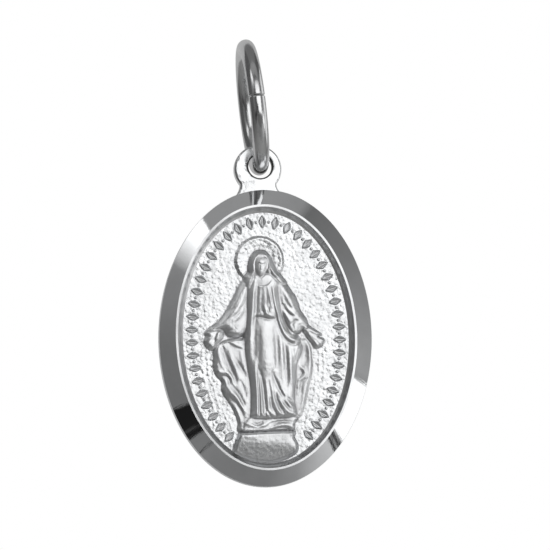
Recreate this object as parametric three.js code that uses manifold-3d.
// Oval devotional medal on a jump ring, struck and cut from sterling silver.
// Millimetres, +Z up, the medal's front faces -Y. The origin is the inner top of the jump ring,
// where a chain would pass.
import * as THREE from 'three';
import { mergeVertices } from 'three/addons/utils/BufferGeometryUtils.js';
import Module from 'manifold-3d';

const wasm = await Module();
wasm.setup();

// Blank and rim
const ovalWidth = 13;
const ovalHeight = 18;
const edgeThickness = 0.8;
const backChamfer = 0.12;
const bevelWidth = 1.05;
const bevelRise = 0.5;
const ridgeWidth = 0.1;
const wallWidth = 0.36;
const fieldDepth = 0.45;

// Jump ring
const wireDiameter = 1;
const ringDiameter = 8.3;
const splitGap = 0.06;
const splitAngle = 2;
const ringLean = -5.3;
const ringTurn = -1.6;

// Eyelet, its hole cut to clear the wire and punched a little above and right of the middle
const wireClearance = 0.225;
const eyeletWall = 0.71;
const eyeletFoot = 0.715;
const holeRight = 0.15;
const holeUp = 0.17;
const neckAngle = 40;
const neckFlare = 0.35;

// Figure, its foot level below the oval's centre
const figureHeight = 11.08;
const figureLeft = 0.2;
const footLevel = 5.73;
const reliefHeight = 0.4;
const reliefRoot = 0.1;

// Border of leaves and beads, which stays open round the globe
const leafLength = 0.82;
const leafWidth = 0.5;
const leafHeight = 0.14;
const beadDiameter = 0.2;
const beadHeight = 0.11;
const ornamentGap = 0.04;
const borderMargin = 0.14;
const globeWidth = 3.85;
const globeClearance = 0.5;

// Facets
const ovalSides = 64;
const wireSides = 12;
const ringSteps = 44;
const massFacets = 8;
const foldFacets = 4;
const haloSteps = 18;
const leafSides = 6;

const degrees = Math.PI / 180;
const backY = edgeThickness / 2;
const ridgeY = backY - edgeThickness - bevelRise;
const fieldY = ridgeY + fieldDepth;
const wireRadius = wireDiameter / 2;
const ringRadius = ringDiameter / 2 - wireRadius;
const holeRadius = wireRadius + wireClearance;
const eyeletRadius = holeRadius + eyeletWall;
const eyeletReach = holeRadius + eyeletFoot;
const ovalDrop = eyeletReach + ovalHeight / 2;

function silver(color, roughness) {
  return new THREE.MeshStandardMaterial({ color, roughness, metalness: 1 });
}

// Closed solid lofted through sections that hold the same number of points, with flat ends
function loft(sections) {
  const count = sections[0].length;
  const points = sections.flat();
  const index = [];
  for (let row = 0; row < sections.length - 1; row += 1) {
    for (let k = 0; k < count; k += 1) {
      const next = (k + 1) % count;
      const [a, b] = [row * count + k, row * count + next];
      index.push(a, b, b + count, a, b + count, a + count);
    }
  }
  for (let k = 1; k < count - 1; k += 1) {
    const last = (sections.length - 1) * count;
    index.push(0, k + 1, k, last, last + k, last + k + 1);
  }
  const geometry = new THREE.BufferGeometry().setFromPoints(points);
  geometry.setIndex(index);
  return geometry;
}

// Manifold solid of a closed geometry, turned right side out if its faces point in
function solid(geometry) {
  const bare = geometry.clone();
  bare.deleteAttribute('normal');
  bare.deleteAttribute('uv');
  const merged = mergeVertices(bare, 1e-5);
  const triangles = Uint32Array.from(merged.index.array);
  const corners = Float32Array.from(merged.attributes.position.array);
  const made = new wasm.Manifold(new wasm.Mesh({ numProp: 3, vertProperties: corners, triVerts: triangles }));
  if (made.volume() > 0) {
    return made;
  }
  for (let k = 0; k < triangles.length; k += 3) {
    [triangles[k], triangles[k + 1]] = [triangles[k + 1], triangles[k]];
  }
  return new wasm.Manifold(new wasm.Mesh({ numProp: 3, vertProperties: corners, triVerts: triangles }));
}

function unite(solids) {
  return solids.reduce((whole, piece) => whole.add(piece));
}

function geometryOf(made) {
  const mesh = made.getMesh();
  const geometry = new THREE.BufferGeometry();
  geometry.setAttribute('position', new THREE.BufferAttribute(mesh.vertProperties, 3));
  geometry.setIndex(new THREE.BufferAttribute(mesh.triVerts, 1));
  return geometry;
}

// Oval blank: back face, chamfer, edge, cut bevel, ridge, inner wall and sunk field
function ovalLoop(inset, y) {
  const loop = [];
  for (let k = 0; k < ovalSides; k += 1) {
    const turn = (k / ovalSides) * 2 * Math.PI;
    const x = (ovalWidth / 2 - inset) * Math.cos(turn);
    const z = (ovalHeight / 2 - inset) * Math.sin(turn);
    loop.push(new THREE.Vector3(x, y, z - ovalDrop));
  }
  return loop;
}

function blank() {
  const body = loft([
    ovalLoop(backChamfer, backY),
    ovalLoop(0, backY - backChamfer),
    ovalLoop(0, backY - edgeThickness),
    ovalLoop(bevelWidth, ridgeY),
  ]);
  const rimInset = bevelWidth + ridgeWidth;
  const roundWall = [[1, 0], [0.35, 0.55], [0, 1], [0, 2]];
  const wallLoop = ([across, up]) => ovalLoop(rimInset + wallWidth * across, fieldY - fieldDepth * up);
  const pocket = loft(roundWall.map(wallLoop));
  return solid(body).subtract(solid(pocket));
}

// Flat eyelet with its flared neck, and the round hole through it. The hole's centre is at zero.
function eyelet() {
  const outline = new THREE.Shape();
  const neck = neckAngle * degrees;
  const middle = new THREE.Vector2(-holeRight, -holeUp);
  const neckX = eyeletRadius * Math.cos(neck);
  const neckZ = middle.y - eyeletRadius * Math.sin(neck);
  const flareX = neckX + neckFlare;
  const shoulderZ = (x) => {
    const drop = 1 - Math.sqrt(1 - (x / (ovalWidth / 2)) ** 2);
    return -eyeletReach - backChamfer - (ovalHeight / 2) * drop;
  };
  const rightX = middle.x + flareX;
  const leftX = middle.x - flareX;
  outline.moveTo(middle.x + neckX, shoulderZ(rightX) - bevelWidth / 2);
  outline.lineTo(rightX, shoulderZ(rightX));
  outline.quadraticCurveTo(middle.x + neckX, -eyeletReach, middle.x + neckX, neckZ);
  outline.absarc(middle.x, middle.y, eyeletRadius, -neck, Math.PI + neck, false);
  outline.quadraticCurveTo(middle.x - neckX, -eyeletReach, leftX, shoulderZ(leftX));
  outline.lineTo(middle.x - neckX, shoulderZ(leftX) - bevelWidth / 2);
  const hole = new THREE.Path();
  hole.absarc(0, 0, holeRadius, 0, 2 * Math.PI, true);
  outline.holes.push(hole);
  const settings = { depth: edgeThickness, bevelEnabled: false, curveSegments: 28 };
  const plate = new THREE.ExtrudeGeometry(outline, settings);
  plate.rotateX(Math.PI / 2);
  plate.translate(0, backY, 0);
  return solid(plate);
}

// Relief strip: a rounded band along a path in the field. The columns of its rows are x, z and
// half width in percent of the figure's height, from its foot, and height in percent of the relief.
function strip(rows, stepsPerRow, arcPoints) {
  const scale = figureHeight / 100;
  const rise = reliefHeight / 100;
  const line = new THREE.CatmullRomCurve3(rows.map(([x, z, half]) => new THREE.Vector3(x, z, half)));
  const top = new THREE.CatmullRomCurve3(rows.map(([, , , height]) => new THREE.Vector3(height, 0, 0)));
  const steps = (rows.length - 1) * stepsPerRow;
  const roundness = 0.8;
  const sections = [];
  for (let s = 0; s <= steps; s += 1) {
    const at = line.getPoint(s / steps);
    const ahead = line.getPoint(Math.min(1, (s + 0.5) / steps));
    const behind = line.getPoint(Math.max(0, (s - 0.5) / steps));
    const along = new THREE.Vector2(ahead.x - behind.x, ahead.y - behind.y).normalize();
    const height = top.getPoint(s / steps).x * rise;
    const section = [];
    for (let k = 0; k <= arcPoints; k += 1) {
      const turn = (k / arcPoints) * Math.PI;
      const across = at.z * Math.cos(turn);
      const buried = k === 0 || k === arcPoints;
      const up = buried ? -reliefRoot : height * Math.sin(turn) ** roundness;
      const x = (at.x - along.y * across) * scale - figureLeft;
      const z = (at.y + along.x * across) * scale - footLevel - ovalDrop;
      section.push(new THREE.Vector3(x, fieldY - up, z));
    }
    sections.push(section);
  }
  return solid(loft(sections));
}

// Masses of the figure, from the head down
const masses = [
  { form: 'veil', rows: [
    [0, 100.4, 1.2, 45], [0, 98.5, 5, 78], [0, 94, 7.4, 96], [0.3, 89, 8.4, 94], [1, 84, 10.5, 76],
    [1, 80, 12, 60],
  ] },
  { form: 'torso', rows: [
    [1, 84, 8, 60], [0.5, 76, 11, 72], [0.8, 68, 10, 74], [1, 60, 9, 76], [1.5, 54, 9, 76],
  ] },
  { form: 'skirt', rows: [
    [1.2, 64, 8, 74], [3, 52, 10, 80], [4.6, 38, 11.6, 84], [5.4, 24, 11.6, 84],
    [5.6, 14, 11.8, 82], [5.8, 7, 12, 74],
  ] },
  { form: 'left arm', rows: [
    [-6, 84, 4, 52], [-10.5, 76, 6, 62], [-14.5, 68, 7, 66], [-18.5, 61, 6.4, 66],
    [-22, 56.5, 4.6, 56],
  ] },
  { form: 'left sleeve', rows: [
    [-10, 68, 3, 66], [-12.5, 61, 5.5, 70], [-15, 56, 6, 66], [-16.5, 53, 4.5, 52],
  ] },
  { form: 'left hand', rows: [
    [-22, 56, 3, 50], [-25.5, 53, 4.6, 58], [-28.5, 50.5, 4.2, 54], [-30.5, 48.6, 2.6, 42],
  ] },
  { form: 'left mantle fall', rows: [
    [-19, 50, 8, 46], [-18.6, 42, 9.2, 44], [-17.8, 34, 9.6, 44], [-15.6, 25, 8.2, 42],
    [-13.2, 16, 5.6, 40], [-12, 8, 3.6, 38], [-12, 2, 2.6, 34],
  ] },
  { form: 'right arm', rows: [
    [8, 84, 4, 52], [12.5, 76, 6, 62], [16, 68, 6.2, 66], [19.4, 61, 5.6, 66],
    [22.6, 56.5, 4.2, 56],
  ] },
  { form: 'right sleeve', rows: [
    [13, 70, 2.6, 66], [15.4, 62, 4.6, 70], [17.6, 57, 5, 66], [19, 54, 3.6, 54],
  ] },
  { form: 'right hand', rows: [
    [22.6, 56, 2.8, 50], [26, 52.5, 3.8, 58], [28.6, 49.6, 3.8, 54], [30.4, 47.4, 2.4, 42],
  ] },
  { form: 'right mantle fall', rows: [
    [20.5, 52, 4.2, 46], [22, 44, 4.6, 42], [22, 36, 5, 40], [21.4, 28, 4.4, 36],
    [20.6, 19, 3, 30], [19.6, 11, 1.8, 24],
  ] },
  { form: 'globe', rows: [
    [0, 1, 14.4, 52], [0, -3.4, 15.8, 58], [0, -7, 17.2, 52], [0, -11, 16, 40], [0, -14.4, 10, 24],
    [0, -16.2, 4, 10],
  ] },
];

// Edges, folds, fingers and small ornaments laid over the masses
const folds = [
  { form: 'face', rows: [
    [0.2, 95.4, 1.4, 92], [-0.1, 93.2, 3, 104], [-0.5, 90, 3.2, 110], [-0.9, 87.4, 2.2, 104],
    [-1, 86, 1, 92],
  ] },
  { form: 'veil edge left', rows: [
    [-1, 98, 1, 100], [-4, 95, 1.3, 108], [-5, 90, 1.4, 108], [-5.6, 86, 1.6, 100],
    [-6.6, 82, 1.4, 84],
  ] },
  { form: 'veil edge right', rows: [
    [1, 98, 1, 100], [3.8, 95, 1.3, 108], [5.4, 90.6, 1.5, 108], [7.6, 87, 1.7, 100],
    [10.6, 84.4, 1.4, 80],
  ] },
  { form: 'neck', rows: [
    [-0.4, 88, 1.8, 80], [0.2, 84, 2.2, 86], [0.8, 80.6, 2.8, 84],
  ] },
  { form: 'collar', rows: [
    [-3.4, 82.6, 0.7, 80], [-0.6, 80.2, 0.9, 92], [2.4, 80.6, 0.9, 92], [5.2, 83, 0.7, 80],
  ] },
  { form: 'mantle edge left', rows: [
    [-3.8, 82.4, 0.8, 80], [-4.5, 75, 1.1, 92], [-5.2, 67, 1.2, 96], [-6.4, 58, 1.4, 98],
    [-7, 48, 1.4, 96], [-7, 40, 1.1, 90],
  ] },
  { form: 'mantle edge right', rows: [
    [5.8, 80, 0.8, 80], [6.5, 71, 1.1, 92], [8.4, 63, 1.2, 96], [10.4, 55.6, 1.2, 96],
    [13.6, 50.6, 1.2, 90], [17.6, 49.6, 1.2, 82], [21, 52, 1.1, 74], [23.6, 55, 0.9, 64],
  ] },
  { form: 'belt', rows: [
    [-5, 63.2, 0.9, 82], [-1, 63.4, 1.1, 92], [3, 62.6, 1.1, 94], [7.4, 62.2, 0.9, 84],
  ] },
  { form: 'belt knot', rows: [
    [1, 66.6, 1, 82], [2, 65, 2, 96], [3.4, 63.6, 1.4, 92],
  ] },
  { form: 'left shoulder fold', rows: [
    [-9, 82, 1.4, 64], [-12.6, 74, 1.7, 78], [-16.6, 66, 1.8, 80], [-21.6, 59.6, 1.5, 72],
    [-26, 56.4, 1.2, 62],
  ] },
  { form: 'left elbow fold', rows: [
    [-11, 73, 1, 74], [-13.2, 66, 1.8, 84], [-15, 60, 1.8, 84], [-17.6, 55.4, 1.3, 70],
  ] },
  { form: 'left sleeve hem', rows: [
    [-20.6, 54.2, 1, 62], [-17, 52.6, 1.3, 72], [-13.4, 53.4, 1.3, 76], [-10, 55.4, 1.1, 76],
  ] },
  { form: 'left lining edge', rows: [
    [-21.4, 53.6, 0.8, 54], [-18.6, 50, 1.1, 60], [-14, 47.6, 1.2, 62], [-9.6, 46.6, 1, 62],
  ] },
  { form: 'right shoulder fold', rows: [
    [11, 82, 1.3, 64], [14.8, 74, 1.6, 78], [17.6, 67, 1.6, 80], [21, 60.6, 1.4, 72],
    [24.4, 56.6, 1.1, 62],
  ] },
  { form: 'right elbow fold', rows: [
    [12.4, 74, 1, 74], [14, 67, 1.7, 84], [15.2, 61, 1.7, 84], [16.6, 56, 1.2, 70],
  ] },
  { form: 'right sleeve hem', rows: [
    [14.4, 55.6, 1, 74], [16.8, 53.6, 1.2, 74], [19.6, 54, 1.1, 70], [22, 56.4, 0.9, 62],
  ] },
  { form: 'left thumb', rows: [
    [-24.4, 54.8, 0.9, 60], [-26.4, 52.6, 1, 66], [-27.2, 50, 0.8, 60],
  ] },
  { form: 'right thumb', rows: [
    [26, 54.6, 1.1, 56], [29, 54, 1.2, 58], [32, 53, 0.9, 46],
  ] },
  { form: 'right fingers', rows: [
    [28.8, 51.4, 1.6, 56], [31.4, 50, 1.7, 56], [33.4, 48.8, 1.2, 44],
  ] },
  { form: 'knee fold', rows: [
    [3.4, 50, 1.6, 88], [4, 42, 3, 98], [4, 34, 2.8, 98], [3.2, 27, 1.6, 90],
  ] },
  { form: 'skirt fold one', rows: [
    [-4.6, 34, 0.9, 84], [-4.2, 26, 1.2, 92], [-4.4, 16, 1.2, 92], [-5, 8, 1, 84],
  ] },
  { form: 'skirt fold two', rows: [
    [-1.6, 30, 0.8, 88], [-1.6, 22, 1.1, 94], [-1.4, 14, 1.1, 94], [-1.8, 8, 1, 86],
  ] },
  { form: 'skirt fold three', rows: [
    [2.4, 28, 1, 90], [2.4, 20, 1.4, 98], [2, 13, 1.3, 96], [2.6, 8, 1, 86],
  ] },
  { form: 'skirt fold four', rows: [
    [5, 30, 1, 92], [6.4, 22, 1.3, 98], [8.2, 15, 1.3, 96], [10.6, 10, 1, 86],
  ] },
  { form: 'skirt fold five', rows: [
    [9, 34, 1, 90], [10, 26, 1.3, 96], [12, 19, 1.3, 94], [14.6, 14, 1, 84],
  ] },
  { form: 'skirt fold six', rows: [
    [13.6, 48, 1.2, 84], [14.6, 38, 1.6, 92], [14.8, 28, 1.6, 92], [15.4, 18, 1.1, 82],
  ] },
  { form: 'hem', rows: [
    [-6.6, 7.4, 0.8, 74], [0, 6.8, 1.1, 84], [7, 7.4, 1.1, 84], [13, 7.6, 1.1, 78],
    [17.4, 8.4, 0.8, 64],
  ] },
  { form: 'left fall fold one', rows: [
    [-24.6, 46, 1, 48], [-25.6, 38, 1.1, 54], [-24.6, 32.6, 1, 50], [-20.4, 31.8, 0.8, 44],
  ] },
  { form: 'left fall fold two', rows: [
    [-21.6, 48, 1, 54], [-20, 40, 1.3, 58], [-17.6, 32, 1.3, 58], [-16.4, 26, 1, 52],
  ] },
  { form: 'left fall fold three', rows: [
    [-20.6, 27, 0.8, 46], [-18.6, 22.6, 1.2, 54], [-14.6, 17, 1.2, 56], [-10.8, 11, 0.9, 52],
  ] },
  { form: 'left fall fold four', rows: [
    [-13, 44, 1.2, 58], [-12.4, 34, 1.5, 62], [-11, 24, 1.4, 62], [-10, 15, 1, 56],
  ] },
  { form: 'right fall fold one', rows: [
    [24.6, 46, 0.9, 46], [25.4, 38, 1.1, 50], [25, 31, 1, 46], [23.4, 22, 0.8, 36],
    [21.4, 14, 0.7, 28],
  ] },
  { form: 'right fall fold two', rows: [
    [21.4, 36, 0.7, 46], [22.4, 32.6, 0.9, 52], [21, 30, 0.9, 50], [19, 27.4, 0.9, 46],
    [18.6, 21, 0.8, 38],
  ] },
  { form: 'left foot', rows: [
    [-10.6, 5.4, 1, 56], [-8, 4.2, 1.4, 66], [-5.6, 3, 1, 58],
  ] },
  { form: 'right foot', rows: [
    [-3.6, 2.6, 1, 60], [-0.8, 3.6, 1.5, 72], [1.8, 5, 1, 66],
  ] },
  { form: 'serpent', rows: [
    [-13, 1.6, 0.8, 56], [-8, 1.4, 1, 68], [-2, 1, 1, 70], [4, 2.2, 1.1, 74], [9, 3.6, 1.1, 72],
    [14, 3.4, 1, 62], [15.4, 1.4, 0.8, 52],
  ] },
  { form: 'cloud rim', rows: [
    [-16.6, -5.2, 0.7, 58], [-9, -5.2, 1, 66], [0, -5.8, 1, 68], [9, -6.4, 1, 66],
    [16.4, -7.6, 0.7, 56],
  ] },
];

// Thin halo behind the head, open where the shoulders hide it
const halo = { x: -0.3, z: 94.4, radius: 12.5, half: 0.85, height: 34, from: -40, to: 220 };

function haloRing() {
  const rows = [];
  for (let k = 0; k <= haloSteps; k += 1) {
    const turn = (halo.from + ((halo.to - halo.from) * k) / haloSteps) * degrees;
    const x = halo.x + halo.radius * Math.cos(turn);
    const z = halo.z + halo.radius * Math.sin(turn);
    rows.push([x, z, halo.half, halo.height]);
  }
  return strip(rows, 1, foldFacets);
}

function figure() {
  const large = masses.map(({ rows }) => strip(rows, 2, massFacets));
  const small = folds.map(({ rows }) => strip(rows, 1, foldFacets));
  return unite([...large, ...small, haloRing()]);
}

// Places at even steps along the border oval, which stays open at the globe
function borderPlaces(perLeaf) {
  const inset = bevelWidth + ridgeWidth + wallWidth + borderMargin + leafLength / 2;
  const [a, b] = [ovalWidth / 2 - inset, ovalHeight / 2 - inset];
  const globeOpening = globeWidth + 2 * globeClearance;
  const leafPitch = leafWidth + beadDiameter + 2 * ornamentGap;
  const fineSteps = 1440;
  const fine = [];
  let length = 0;
  for (let k = 0; k <= fineSteps; k += 1) {
    const turn = (k / fineSteps) * 2 * Math.PI - Math.PI / 2;
    const spot = new THREE.Vector2(a * Math.cos(turn), b * Math.sin(turn));
    length += k > 0 ? spot.distanceTo(fine[k - 1].spot) : 0;
    const outward = new THREE.Vector2(b * Math.cos(turn), a * Math.sin(turn)).normalize();
    fine.push({ spot, outward, length });
  }
  const open = length - globeOpening;
  const count = Math.round(open / leafPitch) * perLeaf;
  const places = [];
  for (let k = 0; k <= count; k += 1) {
    const wanted = globeOpening / 2 + (open * k) / count;
    places.push(fine.find((point) => point.length >= wanted));
  }
  return places;
}

// Dome of a few facets in the field: a pointed leaf, or a round bead
function ornament(place, length, width, height, sides) {
  const side = new THREE.Vector2(-place.outward.y, place.outward.x);
  const ringOf = (share, up) => {
    const loop = [];
    for (let k = 0; k < sides; k += 1) {
      const turn = (k / sides) * 2 * Math.PI;
      const spot = place.spot.clone();
      spot.addScaledVector(place.outward, (length / 2) * share.along * Math.cos(turn));
      spot.addScaledVector(side, (width / 2) * share.across * Math.sin(turn));
      loop.push(new THREE.Vector3(spot.x, fieldY - up, spot.y - ovalDrop));
    }
    return loop;
  };
  const foot = ringOf({ along: 1, across: 1 }, -reliefRoot);
  const rim = ringOf({ along: 1, across: 1 }, height * 0.3);
  const crown = ringOf({ along: 0.5, across: 0.4 }, height);
  return solid(loft([foot, rim, crown]));
}

function border() {
  const leaf = (place) => ornament(place, leafLength, leafWidth, leafHeight, leafSides);
  const bead = (place) => ornament(place, beadDiameter, beadDiameter, beadHeight, leafSides);
  const between = borderPlaces(2).filter((_, k) => k % 2 === 1);
  return unite([...borderPlaces(1).map(leaf), ...between.map(bead)]);
}

// Jump ring: round wire bent to a circle in the plane across the medal, with its butt split
class RingLine extends THREE.Curve {
  getPoint(t, target = new THREE.Vector3()) {
    const gap = splitGap / ringRadius;
    const turn = splitAngle * degrees + gap / 2 + t * (2 * Math.PI - gap);
    return target.set(0, -ringRadius * Math.cos(turn), ringRadius * Math.sin(turn));
  }
}

function jumpRing() {
  const wire = [];
  for (let k = 0; k < wireSides; k += 1) {
    const turn = (k / wireSides) * 2 * Math.PI;
    wire.push(new THREE.Vector2(wireRadius * Math.cos(turn), wireRadius * Math.sin(turn)));
  }
  const settings = { steps: ringSteps, extrudePath: new RingLine(), bevelEnabled: false };
  return new THREE.ExtrudeGeometry(new THREE.Shape(wire), settings);
}

// Both pieces hang about the hole's centre, which the ring's wire passes
const struck = unite([blank(), eyelet(), figure(), border()]);
const medal = new THREE.Mesh(geometryOf(struck), silver(0xd9dadc, 0.35));
medal.name = 'medal';

const ring = new THREE.Mesh(jumpRing(), silver(0xc9cacc, 0.2));
ring.name = 'jump_ring';
ring.position.z = ringRadius;

const ringTilt = new THREE.Group();
ringTilt.rotation.order = 'YZX';
ringTilt.rotation.set(0, ringLean * degrees, ringTurn * degrees);
ringTilt.add(ring);

const hangLength = 2 * ringRadius - wireRadius;
const group = new THREE.Group();
group.position.x = -hangLength * Math.sin(ringLean * degrees);
group.position.z = -hangLength * Math.cos(ringLean * degrees);
group.add(medal, ringTilt);

export default group;
